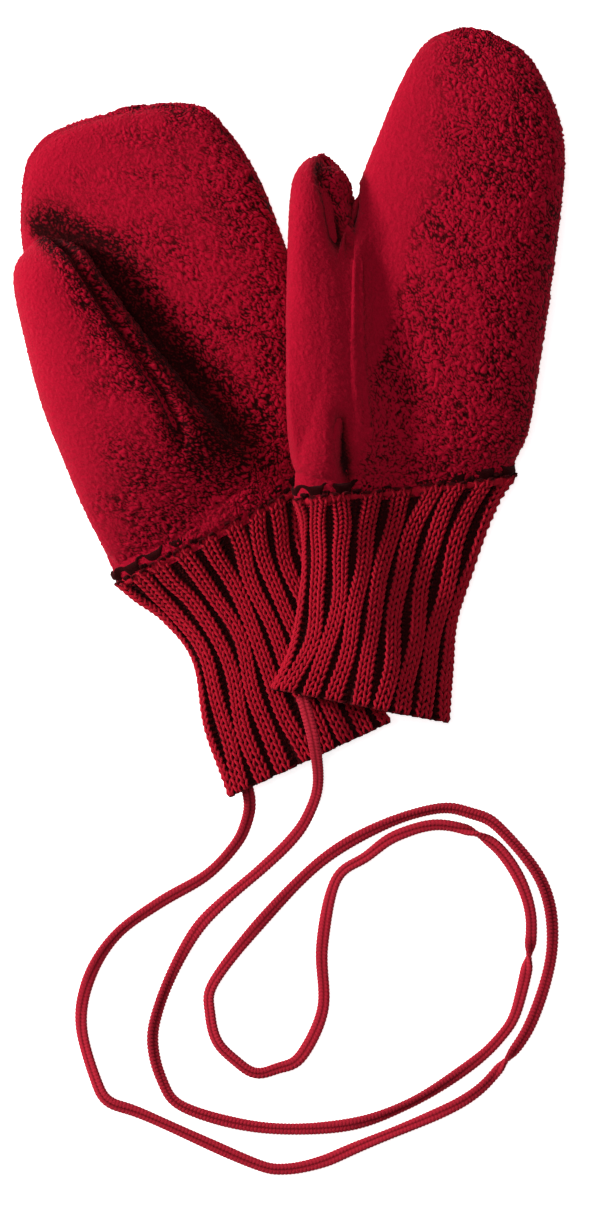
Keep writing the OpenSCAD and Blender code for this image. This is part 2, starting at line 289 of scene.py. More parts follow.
def cord_piece():
    """A flat knitted tube: a squared oval carried along the line, with V stitches pressed into it.

    A stitch is the root of a sine along the cord times the root of a sine round it."""
    centre, length = cord_line()
    run = np.linspace(0.0, length, len(centre))
    _, side, up = tube_frames(centre)
    a = np.linspace(0, 2 * math.pi, CORD_SIDES, endpoint=False)
    wale = a / (2 * math.pi) * CORD_WALES
    row = run[:, None] / CORD_ROW + 0.9 * np.abs(wale % 1.0 - 0.5)
    stitch = np.sqrt(np.abs(np.sin(math.pi * row))) * np.sqrt(np.abs(np.sin(math.pi * wale)) + 0.05)
    wide = CORD_WIDE / 2 * (1 + 0.05 * np.sin(run / 6.1) + 0.04 * np.sin(run / 17.0 + 2))[:, None]
    x = (wide - STITCH_WIDE + STITCH_WIDE * stitch) * power(np.cos(a), CORD_SQUARE)
    z = (CORD_THICK / 2 - STITCH_THICK + STITCH_THICK * stitch) * power(np.sin(a), CORD_SQUARE)
    c, s = np.cos(cord_roll(run))[:, None], np.sin(cord_roll(run))[:, None]
    level, upright = (x * c - z * s)[..., None], (x * s + z * c)[..., None]
    points = centre[:, None] + side[:, None] * level + up[:, None] * upright
    raised = np.maximum(CORD_FLOOR - points[..., 2].min(axis=1), 0.0)
    points[..., 2] += raised[:, None]
    centre[:, 2] += raised
    ends = [np.broadcast_to(centre[k], (1, CORD_SIDES, 3)) for k in (0, -1)]
    full = np.concatenate([ends[0], points, ends[1]])
    quads = grid_quads(len(full), CORD_SIDES, True)
    obj = make_piece("cord_knit", full.reshape(-1, 3), quads, "left_mitten", "cord", slot="cord_knit")
    cap = np.ones((1, CORD_SIDES))
    # The pit attribute paints shade into the sunk parts of each stitch, and full shade on the two closed
    # ends
    add_attribute(obj, "pit", np.concatenate([cap, 1.0 - stitch, cap]))
    print("the cord is", round(length), "mm long")


cord_piece()

# %% [markdown]
# ## The plan of the pair
#
# The same stations that size the real panels place every piece here. A station says how far along
# the mitten it is, how far it reaches left and right of the middle line, and how high its underside
# and its top lie. Sections between stations are rounded boxes, which is what a flat-laid tube of
# thick cloth settles into. The right mitten lies partly on the left one, so it is lifted there.

# %% Sizes of the pair, in millimetres
LEFT = {"name": "left", "place": (-25.0, -37.9), "hand_lean": -11.0, "cuff_lean": -25.0, "bearing": 28.0,
        "over": 0.0}
RIGHT = {"name": "right", "place": (35.0, -23.9), "hand_lean": 8.5, "cuff_lean": 11.0, "bearing": 6.0,
         "over": 1.0}
# The power in a rounded box's sine and cosine: 1 is an ellipse, and less is squarer
SQUARENESS, ROUNDNESS = 0.8, 0.95
# How far from the cuff seam a section has turned square to the hand
TURN_OVER = 34.0
# The upper mitten's lift, and the lower one's edge as along and across of the table
LIFT_H, LIFT_FALL, EDGE_IN = 12.6, 34.0, 2.0
EDGE_LINE = np.array([[-93, 29], [-21, 4], [-11, 8], [29, 5], [60, -3], [85, -14]], float)

# Stations: how far along, reach to the left, reach to the right, underside, top
LEFT_HAND = [[1, 33, 33, 0, 15], [20, 36, 37, 0, 17], [45, 40, 40, 0, 18], [72, 41.5, 42, 0, 18],
             [100, 40.5, 38, 0, 17], [113, 38, 34, 0.5, 15.5], [123, 34.5, 29, 1, 14],
             [129, 29, 25, 2, 12.5], [132, 22.5, 19.5, 3, 11], [133.6, 11.5, 13, 4.5, 9.5],
             [134.2, 4, 6, 5.5, 8.5]]
LEFT_THUMB = [[3, 30, 19, 5, 13], [16, 35.5, 17, 6, 22], [30, 39.5, 10, 7, 30], [48, 43, 1, 8, 33.5],
              [68, 44.3, -9.5, 9, 34.5], [84, 44.6, -17, 10, 33.5], [92, 42.8, -20.5, 11.5, 30],
              [97, 37.5, -26, 14, 25], [99.5, 33.5, -30, 17, 21.5]]
RIGHT_HAND = [[1, 34.5, 34, 0, 16], [15, 34.5, 36, 0, 21], [40, 34, 36, 0, 26], [66, 31.5, 36, 0, 27],
              [90, 28, 35.6, 0, 25], [108, 24.2, 34.6, 0.5, 22], [122, 21, 30.5, 1, 19],
              [133, 17.4, 24, 2.5, 15], [140, 12.5, 17, 4.5, 12], [144, 5, 7, 7, 10]]
RIGHT_THUMB = [[3, 30, -4, 3, 14], [18, 38, -9, 1.5, 22], [42, 43, -14, 1, 25], [64, 46, -20, 1, 25],
               [82, 48, -26.5, 2, 24], [90, 47.6, -29, 3.5, 22.5], [95, 45, -33, 6, 20],
               [97.4, 41.5, -37, 10, 15]]
LEFT_CUFF = [[-76, 29.5, 26.5, 0, 12], [-55, 27, 24.5, 0, 12], [-34, 21.8, 23.5, 0, 12],
             [-18, 24.5, 25, 0, 12], [-8, 29.5, 29.5, 0, 13.5], [-1, 33, 33, 0, 15]]
RIGHT_CUFF = [[-68, 29, 27.6, 0, 14], [-52, 25.2, 25.6, 0, 14], [-36, 25.6, 24.5, 0, 14],
              [-18, 28.5, 26.8, 0, 14], [-8, 31, 30.6, 0, 15], [-1, 34, 35.5, 0, 16]]
# A seam's surface: its height, how fast it rises past the bend, and where the bend runs
LEFT_SPLIT = (9.2, 0.0, [[0, 0], [1, 0]])
LEFT_THUMB_SPLIT = (10.0, 1.4, [[30, -16], [44, -20], [78, -34], [88, -37]])
RIGHT_SPLIT = (9.0, -1.2, [[0, -12], [34, -10], [66, -16], [84, -23], [96, -31], [108, -42]])
LEFT_TACK, RIGHT_TACK = (-14.5, -112.5, 2.5), (2.0, -83.0, 15.1)
print("the hands are", LEFT_HAND[-1][0], "and", RIGHT_HAND[-1][0], "mm long")

# %% From a mitten's own measures to the table
def lift(x, y):
    """How far the upper mitten is held up: all of it over the lower one, then an even fall past its edge."""
    edge = np.interp(y, EDGE_LINE[:, 0], EDGE_LINE[:, 1])
    return LIFT_H * (1.0 - smooth((x - edge + EDGE_IN) / LIFT_FALL))


def lay(mitten, lean, across, along, up):
    """Turns across and along by the lean about the cuff seam's middle, then sets the height."""
    turn = math.radians(lean)
    x = mitten["place"][0] + across * math.cos(turn) + along * math.sin(turn)
    y = mitten["place"][1] - across * math.sin(turn) + along * math.cos(turn)
    return np.stack([x, y, up + mitten["over"] * lift(x, y)], axis=-1)


def own_measures(mitten, lean, points):
    """The reverse of lay: across, along and up of points on the table."""
    turn = math.radians(lean)
    x, y = points[..., 0] - mitten["place"][0], points[..., 1] - mitten["place"][1]
    across = x * math.cos(turn) - y * math.sin(turn)
    along = x * math.sin(turn) + y * math.cos(turn)
    return across, along, points[..., 2] - mitten["over"] * lift(points[..., 0], points[..., 1])


def table_of(stations):
    """The stations drawn out into a smooth fine table."""
    return through(stations, np.linspace(0, len(stations) - 1, 60 * len(stations)))

# %% A limb's skin as a grid
FINE_TURN = 4000
DOME_ROWS = 3
TINY = 1e-3


def even_angles(section, count, square):
    """Angles that are equal steps apart round a section, so that the grid's cells come out square."""
    a = np.linspace(0.0, 2.0 * math.pi, FINE_TURN)
    half_w, half_h = (section[1] + section[2]) / 2, (section[4] - section[3]) / 2
    line = np.stack([half_w * power(np.cos(a), square), half_h * power(np.sin(a), square)], axis=1)
    step = np.concatenate([[0.0], np.cumsum(np.linalg.norm(np.diff(line, axis=0), axis=1))])
    return np.interp(np.linspace(0.0, step[-1], count, endpoint=False), step, a), step[-1]


def limb_grid(mitten, lean, stations, cell, dome=0.0, square=SQUARENESS):
    """A limb's outer skin as a grid of points: each section is a rounded box, carried along the stations.

    A dome closes the far end: the last sections shrink as a circle does. Returns points and along."""
    fine = table_of(stations)
    length = np.linalg.norm(np.diff(fine, axis=0), axis=1).sum()
    rows = evenly(fine, int(length / cell))
    scale = np.ones(len(rows))
    if dome:
        f = np.linspace(0.0, 1.0, int(dome * 2 / cell) + DOME_ROWS)[1:]
        last = np.repeat(rows[-1:], len(f), axis=0)
        last[:, 0] += dome * np.sin(f * math.pi / 2)
        rows = np.concatenate([rows, last])
        scale = np.concatenate([scale, np.maximum(np.cos(f * math.pi / 2), TINY)])
    widest = rows[np.argmax(rows[:, 1] + rows[:, 2])]
    perimeter = even_angles(widest, 8, square)[1]
    angles = even_angles(widest, int(perimeter / cell), square)[0]
    s = rows[:, :1]
    across = (rows[:, 2:3] - rows[:, 1:2]) / 2 \
        + scale[:, None] * (rows[:, 1:2] + rows[:, 2:3]) / 2 * power(np.cos(angles), square)
    up = (rows[:, 3:4] + rows[:, 4:5]) / 2 \
        + scale[:, None] * (rows[:, 4:5] - rows[:, 3:4]) / 2 * power(np.sin(angles), square)
    turn = np.radians(mitten["bearing"] + lean) * (1.0 - smooth(np.abs(s) / TURN_OVER))
    points = lay(mitten, lean, across * np.cos(turn), s + across * np.sin(turn), np.maximum(up, 0.0))
    return points, np.broadcast_to(s, across.shape)


def grid_normals(p):
    """The outward direction at each point of a closed grid: across the row, crossed with along it."""
    across = np.roll(p, -1, axis=1) - np.roll(p, 1, axis=1)
    along = np.gradient(p, axis=0)
    n = np.cross(along, across)
    n[-1] = n[-2].mean(axis=0)
    return unit(n)

# %% Outside a limb, and over a seam
def outside(mitten, stations, points):
    """Roughly how far points are outside a limb: its rounded-box value over that value's own slope."""
    fine = table_of(stations)
    across, along, up = own_measures(mitten, mitten["hand_lean"], points)
    at = [np.interp(along, fine[:, 0], fine[:, k]) for k in range(1, 5)]
    half_w, half_h = (at[0] + at[1]) / 2, (at[3] - at[2]) / 2
    u, v = (across - (at[1] - at[0]) / 2) / half_w, (up - (at[2] + at[3]) / 2) / half_h
    e = 2.0 / ROUNDNESS
    value = (np.abs(u) ** e + np.abs(v) ** e + 1e-9) ** (1 / e)
    slope = np.hypot(np.abs(u) ** (e - 1) / half_w, np.abs(v) ** (e - 1) / half_h) * value ** (1 - e)
    past = np.maximum(fine[0, 0] - along, 0) + np.maximum(along - fine[-1, 0], 0)
    return (value - 1.0) / np.maximum(slope, TINY) + past


def seam_height(split, across, along):
    """How high a seam's surface lies at a place on a mitten."""
    bend = np.array(split[2], float)
    return split[0] + np.maximum(0.0, split[1] * (across - np.interp(along, bend[:, 0], bend[:, 1])))

# %% [markdown]
# ## Curly wool
#
# Boiled fleece is a felt of short curls that clump into tufts a millimetre or two wide, with deep
# pits between them. A tuft is the region nearer to one scattered point than to any other, so its
# height falls away towards its neighbours. Warping the space first makes the tufts uneven and curly.

# %% Scattered points and soft noise
def scatter(i, j, k, salt):
    """A number from 0 to 1 for each cell of space: the cell's three counts, multiplied and mixed."""
    h = (i * 374761393 + j * 668265263 + k * 1442695041 + salt * 974634777) & 0xFFFFFFFF
    h = ((h ^ (h >> 13)) * 1274126177) & 0xFFFFFFFF
    h = ((h ^ (h >> 15)) * 2246822519) & 0xFFFFFFFF
    return ((h ^ (h >> 16)) & 0xFFFFFF) / float(0xFFFFFF)


def soft_noise(points, size, salt):
    """Smooth noise from 0 to 1: the scattered numbers of the eight corners round a point, eased between."""
    q = points / size
    base = np.floor(q).astype(np.int64)
    f = q - base
    f = f * f * (3.0 - 2.0 * f)
    total = np.zeros(points.shape[:-1])
    for corner in np.ndindex(2, 2, 2):
        weight = np.prod([f[..., k] if corner[k] else 1.0 - f[..., k] for k in range(3)], axis=0)
        total += weight * scatter(*(base[..., k] + corner[k] for k in range(3)), salt)
    return total


def warped(points, size, amount, salt):
    """Points moved about by three soft noises."""
    moves = [soft_noise(points, size, salt + k) - 0.5 for k in range(3)]
    return points + 2.0 * amount * np.stack(moves, axis=-1)


def tufts(points, size, salt):
    """The nearest and second nearest scattered points: how far they are, in tuft sizes."""
    q = points / size
    base = np.floor(q).astype(np.int64)
    first = np.full(points.shape[:-1], 9.0)
    second = first.copy()
    for step in np.ndindex(3, 3, 3):
        cell = [base[..., k] + step[k] - 1 for k in range(3)]
        d = np.sqrt(sum((cell[k] + scatter(*cell, salt + 7 * k) - q[..., k]) ** 2 for k in range(3)))
        second = np.minimum(second, np.maximum(first, d))
        first = np.minimum(first, d)
    return first, second


# The size of a tuft and of a curl on it, and how far apart their pits open
TUFT, CURL = 1.6, 0.85
TUFT_PIT, CURL_PIT = 0.55, 0.5
TUFT_SHARE, CURL_SHARE, PATCH_SHARE = 0.60, 0.50, 0.16


def wool_relief(points):
    """How high the pile stands, from 0 in a pit to 1 on a tuft: large tufts, and smaller curls on them."""
    curly = warped(warped(points, 5.0, 1.6, 3), 1.4, 0.9, 11)
    near, far = tufts(curly, TUFT, 21)
    big = smooth((far - near) / TUFT_PIT) * (1.1 - near)
    near, far = tufts(curly, CURL, 51)
    small = smooth((far - near) / CURL_PIT) * (1.1 - near)
    patch = soft_noise(points, 9.0, 5)
    return np.clip(TUFT_SHARE * big + CURL_SHARE * small + PATCH_SHARE * (patch - 0.5), 0.0, 1.0)


strip = np.stack([np.linspace(0.0, 40.0, 2000), np.zeros(2000), np.zeros(2000)], axis=1)
print("along 40 mm of wool the pile stands", wool_relief(strip).mean().round(2), "of its height on average")

# %% [markdown]
# ## The skin of a hand or a thumb
#
# On the real mitten each half of a hand and its thumb are one cut of fleece, so there is no step
# where they meet, and the seam between the halves draws in as a groove. The skin starts as the
# rounded boxes of the plan. It is then drawn out towards the limb beside it, sunk along the seam,
# and last of all tufted. The alternative, a sculpted mesh with a particle coat, looks furrier but
# is heavy and can't be exported as a surface. Where the wool faces the key light, the tufts are
# laid down and the face is nearly smooth: that is decided by which way the wool faces. There the
# colour gets painted light, its pits painted out, and a little painted shade over all. Elsewhere
# painted shade darkens the pits, the seam's groove, and the fold beside the left thumb, where it
# stands for the thumb's shadow.

# %% Where two limbs meet
CELL = 0.42
DOME = 0.8
# How softly a limb flows into the one beside it, and over what length that fades past the joint
MELT = {"left": 2.2, "right": 3.0}
MELT_IN = 3.0
JOIN_FADE = 12.0
# The filled dip beside the right thumb: how wide, how far along, and from what height
BRIDGE_REACH, BRIDGE_END, BRIDGE_FADE = 14.0, 70.0, 16.0
BRIDGE_FROM, BRIDGE_RISE, BRIDGE_SINK = 11.0, 6.0, 0.3


def melted(mitten, other, points, normals):
    """Draws a skin out towards another limb it touches, so that the two flow together without a crease.

    The rise is a soft corner: melt times the logarithm of 1 plus e to minus the distance over melt."""
    melt = MELT[mitten["name"]]
    for _ in range(2):
        d = outside(mitten, other, points)
        rise = melt * np.log1p(np.exp(-np.maximum(d, 0.0) / melt)) * ramp(d, -MELT_IN, MELT_IN)
        points = points + normals * (rise / 2)[..., None]
    return points


def bridged(stations, other, points, along, up):
    """Fills the dip between a thumb and a hand that lie side by side, up to the lower of their two tops."""
    own, fine = table_of(stations), table_of(other)
    tops = [np.interp(along, table[:, 0], table[:, 4]) for table in (own, fine)]
    level = np.minimum(*tops) - BRIDGE_SINK
    near = np.exp(-(np.maximum(outside(RIGHT, other, points), 0.0) / BRIDGE_REACH) ** 2)
    weight = near * ramp(up, BRIDGE_FROM, BRIDGE_RISE) * (1.0 - ramp(along, BRIDGE_END, BRIDGE_FADE))
    return points + np.array([0.0, 0.0, 1.0]) * (np.maximum(level - up, 0.0) * weight)[..., None]


# %% The groove at a seam
GROOVE_DEEP, GROOVE_WIDE, GROOVE_FADE = 3.0, 2.0, 14.0
FACE_FROM, FACE_FADE = 3.0, 4.0
# On the right hand's face the seam runs hidden in the filled dip between these two places
HIDDEN_FROM, HIDDEN_IN = 14.0, 10.0
HIDDEN_TO, HIDDEN_OUT = 62.0, 12.0


def seam_groove(mitten, split, gap, s, up, side_depth, groove_from):
    """How far the seam draws the wool in, from 0 to 1: a bell curve across the seam, deeper on the face."""
    groove = np.exp(-(np.abs(gap) / math.hypot(1.0, split[1]) / GROOVE_WIDE) ** 2)
    on_face = ramp(up, split[0] + FACE_FROM, FACE_FADE) if split[1] else 0.0
    groove = groove * (side_depth + (1.0 - side_depth) * on_face) * ramp(s, groove_from, GROOVE_FADE)
    if mitten is RIGHT:
        hidden = ramp(s, HIDDEN_FROM, HIDDEN_IN) * (1.0 - ramp(s, HIDDEN_TO, HIDDEN_OUT))
        groove = groove * (1.0 - on_face * hidden)
    return groove


# %% Wool laid flat and painted lit where it faces the key light, and the painted shadow in the fold
# Roughly the way toward the key light, and how the wool facing it, laid flat and painted lit, gives over to
# curls
TOWARD_KEY_LIGHT = np.array([-0.80, 0.10, 0.59])
LIT_FLAT_FROM, LIT_FLAT_FADE = 0.40, 0.34
LIT_FLAT_PATCH, LIT_FLAT_VARY = 6.0, 0.25
# The right mitten: laid smooth and painted lit up to this place across, over the thumb's side and the lower
# hand
FLAT_TO, FLAT_FADE = -20.0, 12.0
LIT_BAND_UP, LIT_BAND_RISE = 6.0, 6.0
LIT_BAND_END, LIT_BAND_OUT = 70.0, 30.0
LIT_BAND_MORE, CURLED_LESS, CURLED_FADE = 0.8, 0.20, 26.0
# The left mitten: a painted shadow in the fold beside the thumb, past a line down the thumb's middle
THUMB_SIDE = (4.0, 0.42)
FOLD_WIDE, FOLD_EDGE = 12.0, 5.0
FOLD_FROM, FOLD_IN = 10.0, 20.0


def painted_fold_shadow(other, flat, across, s):
    """How deep in the painted shadow beside the left thumb each point is: a bell curve of its distance."""
    beside = np.exp(-(np.maximum(outside(LEFT, other, flat), 0.0) / FOLD_WIDE) ** 2)
    inner_side = ramp(across + THUMB_SIDE[1] * s, THUMB_SIDE[0], FOLD_EDGE)
    return beside * inner_side * ramp(s, FOLD_FROM, FOLD_IN)


def painted_lit_and_flat(mitten, points, normals, across, s, up):
    """How flat the pile lies and how much painted light it gets, from 0 to 1: the cosine of the angle to the
    key light, eased.
    """
    vary = soft_noise(points, LIT_FLAT_PATCH, 77) - 0.5
    facing = (normals * TOWARD_KEY_LIGHT).sum(axis=-1)
    if mitten is RIGHT:
        lit_band = (1.0 - ramp(across, FLAT_TO, FLAT_FADE)) * ramp(up, LIT_BAND_UP, LIT_BAND_RISE)
        lit_band = lit_band * (1.0 - ramp(s, LIT_BAND_END, LIT_BAND_OUT))
        facing = facing - CURLED_LESS * ramp(across, FLAT_TO, CURLED_FADE) + LIT_BAND_MORE * lit_band
    return ramp(facing + LIT_FLAT_VARY * vary, LIT_FLAT_FROM, LIT_FLAT_FADE)


# %% The whole skin
PILE = 0.8
PILE_MIDDLE = 0.55
# How far the tufts are laid down where the wool faces the key light
LIT_FLAT_DOWN = 0.55
HEM_ROLL, HEM_LONG, HEM_OVER = 1.6, 4.0, 2.5
FLOOR_GAP = 0.05
# Painted shade in the wool: the pits (painted out where it faces the key light), the seam's groove, a little
# on the side facing the key light, and the painted shadow in the fold
PIT_SHADE_TOP, PIT_SHADE_FADE = 0.47, 0.50
LIT_PITS_CLEAR, LIT_SIDE_SHADE = 0.85, 0.35
GROOVE_SHADE, FOLD_SHADOW_DARK = 0.75, 0.9


def wool_skin(mitten, stations, split, other, join_below, hem, side_depth, groove_from):
    """A limb's skin in wool: its sections, melted into the other limb, grooved at the seam, then tufted.

    Returns the grid of points, how much painted shade each has, and how far it is above the seam's surface."""
    lean = mitten["hand_lean"]
    if hem:
        stations = [[-HEM_OVER, *stations[0][1:]], *stations]
    flat, along = limb_grid(mitten, lean, stations, CELL, dome=DOME, square=ROUNDNESS)
    normals = grid_normals(flat)
    near_base = 1.0 - ramp(along, join_below, JOIN_FADE)
    points = flat + (melted(mitten, other, flat, normals) - flat) * near_base[..., None]
    across, s, up = own_measures(mitten, lean, flat)
    if mitten is RIGHT:
        points = bridged(stations, other, points, s, up)
        normals = grid_normals(points)
    gap = up - seam_height(split, across, s)
    groove = seam_groove(mitten, split, gap, s, up, side_depth, groove_from)
    relief = wool_relief(points)
    push = PILE * (relief - PILE_MIDDLE) - GROOVE_DEEP * groove
    if hem:
        push = push - HEM_ROLL * (1.0 - smooth((along + HEM_OVER) / HEM_LONG))
    points = points + normals * push[..., None]
    points[..., 2] = np.maximum(points[..., 2], FLOOR_GAP * relief)
    # Painted shadow beside the left thumb, which also keeps the wool there from being laid flat and painted
    # lit
    fold = painted_fold_shadow(other, flat, across, s) if mitten is LEFT else 0.0
    # Where the wool faces the key light it is laid flat and gets painted light: its pits are painted out and
    # its colour toned
    lit_flat = painted_lit_and_flat(mitten, points, normals, across, s, up) * (1.0 - fold)
    # Painted shade in the pits between tufts and in the seam's groove
    pits = smooth((PIT_SHADE_TOP - relief) / PIT_SHADE_FADE) * (1.0 - LIT_PITS_CLEAR * lit_flat)
    dark = pits + GROOVE_SHADE * groove**2 + LIT_SIDE_SHADE * lit_flat + FOLD_SHADOW_DARK * fold
    points = points - normals * (LIT_FLAT_DOWN * lit_flat * (relief - 0.5) * PILE)[..., None]
    return points, np.clip(dark, 0.0, 1.0), gap


# %% The inner face
WOOL_T = 2.9
INNER_CELL = 2.5
INNER_DOME = 1.0
# Painted shade on the inner face, which lies inside the mitten
INNER_SHADE = 0.5


def inner_skin(mitten, stations, split):
    """The wool's plain inner face: each section shrunk by the thickness, or to half where it is thin."""
    rows = np.array(stations, float)
    half_w, half_h = (rows[:, 1] + rows[:, 2]) / 2, (rows[:, 4] - rows[:, 3]) / 2
    mid_x, mid_z = (rows[:, 2] - rows[:, 1]) / 2, (rows[:, 3] + rows[:, 4]) / 2
    half_w = half_w - WOOL_T * np.minimum(1.0, half_w / (2 * WOOL_T))
    half_h = half_h - WOOL_T * np.minimum(1.0, half_h / (2 * WOOL_T))
    ends = rows[:, 0] - WOOL_T * smooth(2 * rows[:, 0] / rows[-1, 0] - 1)
    rows = np.stack([ends, half_w - mid_x, half_w + mid_x, mid_z - half_h, mid_z + half_h], axis=1)
    points, _ = limb_grid(mitten, mitten["hand_lean"], rows, INNER_CELL, dome=INNER_DOME, square=ROUNDNESS)
    across, s, up = own_measures(mitten, mitten["hand_lean"], points)
    return points, up - seam_height(split, across, s)


def wool_panels(mitten, stations, split, other, join_below, hem, upper, lower, body, side_depth=0.35,
                groove_from=-30.0):
    """The two panels of a limb, divided where the seam's surface passes."""
    points, dark, gap = wool_skin(mitten, stations, split, other, join_below, hem, side_depth, groove_from)
    inner, inner_gap = inner_skin(mitten, stations, split)
    outer_quads = grid_quads(points.shape[0], points.shape[1], True)
    inner_quads = grid_quads(inner.shape[0], inner.shape[1], True)[:, ::-1]
    both = np.concatenate([points.reshape(-1, 3), inner.reshape(-1, 3)])
    pit = np.concatenate([dark.reshape(-1), np.full(inner_gap.size, INNER_SHADE)])
    made = []
    for node, side in ((upper, 1.0), (lower, -1.0)):
        take = side * gap.reshape(-1)[outer_quads].mean(axis=1) > 0
        take_in = side * inner_gap.reshape(-1)[inner_quads].mean(axis=1) > 0
        quads = np.concatenate([outer_quads[take], inner_quads[take_in] + gap.size])
        used, index = np.unique(quads, return_inverse=True)
        obj = make_piece(node + "_wool", both[used], index.reshape(-1, 4), body, node, slot="wool_fleece")
        add_attribute(obj, "pit", pit[used])
        made.append(obj)
    return made

# %% Make the hands and thumbs
wool_panels(LEFT, LEFT_HAND, LEFT_SPLIT, LEFT_THUMB, 60.0, True,
            "left_palm_panel", "left_back_panel", "left_mitten")
wool_panels(RIGHT, RIGHT_HAND, RIGHT_SPLIT, RIGHT_THUMB, 66.0, True,
            "right_back_panel", "right_palm_panel", "right_mitten")
left_thumb = wool_panels(LEFT, LEFT_THUMB, LEFT_THUMB_SPLIT, LEFT_HAND, 34.0, False,
                         "left_thumb_back", "left_thumb_palm", None, groove_from=22.0)
right_thumb = wool_panels(RIGHT, RIGHT_THUMB, RIGHT_SPLIT, RIGHT_HAND, 66.0, False,
                          "right_thumb_back", "right_thumb_palm", None)

# %% [markdown]
# ## Knitting
#
# Knitting is one yarn pulled through its own last row as loops. Along a row the yarn swings from
# side to side twice as often as it rises and falls, which draws the loop, and comes forward twice
# as often too. On a knit stitch the legs are in front and show as a V. On a purl stitch the head
# and feet are in front and show as a bar. Two knit and two purl by turns is a rib: the purl
# stitches draw back into valleys, which open where the wool spreads the rib.

# %% Places on a skin, and yarn along lines
# A direction that no strand of yarn here runs in
NEVER_ALONG = np.array([0.13, 0.31, 0.94])


def on_skin(points, normals, row, col, out):
    """The place out from a closed grid at a row and a column that need not be whole numbers."""
    rows, cols = points.shape[:2]
    r = np.clip(row, 0, rows - 1.001)
    r0 = np.floor(r).astype(int)
    c0 = np.floor(col).astype(int)
    fr, fc = (r - r0)[..., None], (col - c0)[..., None]
    r1, c0, c1 = r0 + 1, c0 % cols, (c0 + 1) % cols

    def mix(grid):
        low = grid[r0, c0] * (1 - fc) + grid[r0, c1] * fc
        high = grid[r1, c0] * (1 - fc) + grid[r1, c1] * fc
        return low * (1 - fr) + high * fr

    return mix(points) + unit(mix(normals)) * out[..., None]


def yarn_tubes(lines, radius, sides, closed):
    """Round tubes along many lines at once, from an array of lines by points along by 3.

    Each ring is a cosine of one side of the line and a sine of another. Returns points and faces."""
    if closed:
        ahead = unit(np.roll(lines, -1, axis=1) - np.roll(lines, 1, axis=1))
    else:
        ahead = unit(np.gradient(lines, axis=1))
    side = unit(np.cross(ahead, NEVER_ALONG))
    up = np.cross(side, ahead)
    a = np.linspace(0, 2 * math.pi, sides, endpoint=False)
    r = np.broadcast_to(np.asarray(radius, float), lines.shape[:2])[..., None, None]
    ring = side[:, :, None] * np.cos(a)[:, None] + up[:, :, None] * np.sin(a)[:, None]
    points = lines[:, :, None] + r * ring
    n, m = lines.shape[:2]
    row = np.arange(m if closed else m - 1)
    i, j, k = np.meshgrid(np.arange(n), row, np.arange(sides), indexing="ij")
    a0 = (i * m + j) * sides + k
    b0 = (i * m + j) * sides + (k + 1) % sides
    a1 = (i * m + (j + 1) % m) * sides + k
    b1 = (i * m + (j + 1) % m) * sides + (k + 1) % sides
    return points.reshape(-1, 3), np.stack([a0, a1, b1, b0], axis=-1).reshape(-1, 4)

# %% The rib
# Repeats of two knit and two purl round a cuff, and the height of a row
REPEATS, WALES = 17, 4
ROW = 2.05
STITCH_PTS = 9
YARN_R, YARN_SIDES = 0.5, 5
# How much of a repeat the knit ridge takes, and the drop of a valley below it
KNIT_SHARE = 0.76
RIB_DEEP, RIB_IN = 2.1, 0.6
RIB_EDGE, RIB_SIDE = 0.07, 0.13
SPREAD_FROM, SPREAD_LONG, SPREAD_OPEN = 0.72, 0.28, 0.25
SCALLOP, SCALLOP_ROWS = 0.8, 4.0
# A loop's swing, rise and coming forward, in wales, rows and millimetres
SWING, RISE, FORWARD = 0.25, 0.80, 0.40


def rib_profile(q, spread):
    """How far the rib stands out at a place in its repeat: 1 on the knit ridge and 0 in the purl valley."""
    middle = KNIT_SHARE / 2 - 0.06 * spread
    away = np.abs((q - KNIT_SHARE / 2 + 0.5) % 1.0 - 0.5)
    return 1.0 - smooth((away - middle + RIB_EDGE) / RIB_SIDE)


def purl_share(wale):
    """1 in the middle of the two purl stitches, 0 on the knit ones, eased at both changes."""
    start, finish, change = 1.86, 3.72, 0.28
    across_end = 1.0 - smooth((wale + 0.14) / change)
    return np.clip(ramp(wale, start, change) * (1.0 - ramp(wale, finish, change)) + across_end, 0.0, 1.0)


def uneven(course, place, amount_a, step_a, phase_a, amount_b, step_b, phase_b):
    """Hand-made unevenness: two slow sines of the row, out of step from one column to the next."""
    return amount_a * np.sin(course * step_a + phase_a * place) \
        + amount_b * np.sin(course * step_b + phase_b * place)


# %% A cuff's yarn and backing
BACKING_BEHIND, BACKING_T, BACKING_END = 0.35, 3.4, 1.6
BACKING_SHARE = 0.4
TOP_FROM, TOP_LONG = 0.93, 0.07
BACKING_LOW = 0.3


